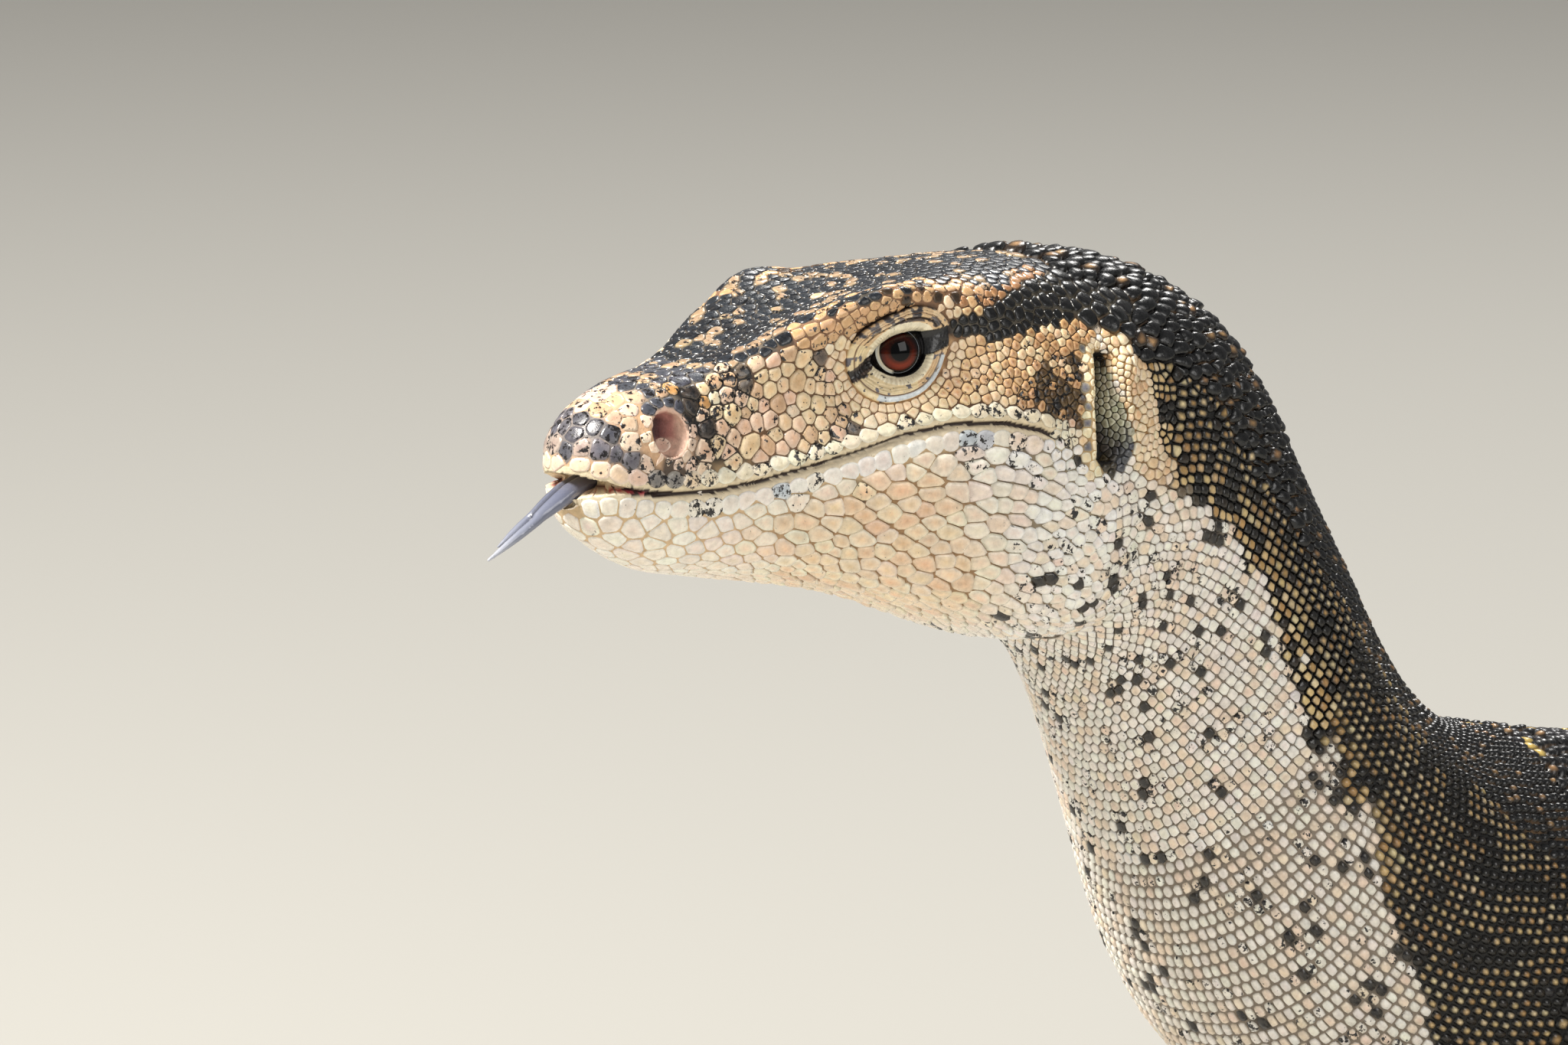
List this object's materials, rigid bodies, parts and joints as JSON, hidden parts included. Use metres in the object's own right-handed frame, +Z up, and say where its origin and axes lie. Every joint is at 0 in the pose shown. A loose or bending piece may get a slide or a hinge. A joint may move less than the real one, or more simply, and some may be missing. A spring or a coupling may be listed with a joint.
{
  "type": "water monitor lizard",
  "caption": "Life-size still model of a standing water monitor lizard with raised head, forked tongue out and tail curled on the floor.",
  "frame": {"origin": "centre of the bounding box in X and Y, at the height of the floor that the soles and the tail lie on", "axes": "+Z up, -Y the way the head looks, +X to the animal's left, where the tail curls"},
  "size_m": [0.881, 0.9298, 0.2285],
  "materials": {
    "body_skin": "black and dark brown scales with rows of pale yellow spots, satin",
    "head_skin": "slate and tan scales, satin",
    "jaw_skin": "cream scales, satin",
    "eye": "wet, clear gloss over red-brown",
    "tongue": "moist, slate violet",
    "claw": "smooth black horn"
  },
  "bodies": {
    "root": {"head": "head_skin", "lower_jaw": "jaw_skin", "eye_left": "eye", "eye_right": "eye", "tongue": "tongue", "neck_upper": "body_skin", "neck_lower": "body_skin", "chest": "body_skin", "belly": "body_skin", "pelvis": "body_skin", "tail_1": "body_skin", "tail_2": "body_skin", "tail_3": "body_skin", "tail_4": "body_skin", "tail_5": "body_skin", "upper_arm_left": "body_skin", "forearm_left": "body_skin", "hand_left": "body_skin", "claw_hand_left_1": "claw", "claw_hand_left_2": "claw", "claw_hand_left_3": "claw", "claw_hand_left_4": "claw", "claw_hand_left_5": "claw", "upper_arm_right": "body_skin", "forearm_right": "body_skin", "hand_right": "body_skin", "claw_hand_right_1": "claw", "claw_hand_right_2": "claw", "claw_hand_right_3": "claw", "claw_hand_right_4": "claw", "claw_hand_right_5": "claw", "thigh_left": "body_skin", "shin_left": "body_skin", "foot_left": "body_skin", "claw_foot_left_1": "claw", "claw_foot_left_2": "claw", "claw_foot_left_3": "claw", "claw_foot_left_4": "claw", "claw_foot_left_5": "claw", "thigh_right": "body_skin", "shin_right": "body_skin", "foot_right": "body_skin", "claw_foot_right_1": "claw", "claw_foot_right_2": "claw", "claw_foot_right_3": "claw", "claw_foot_right_4": "claw", "claw_foot_right_5": "claw"}
  },
  "joints": []
}
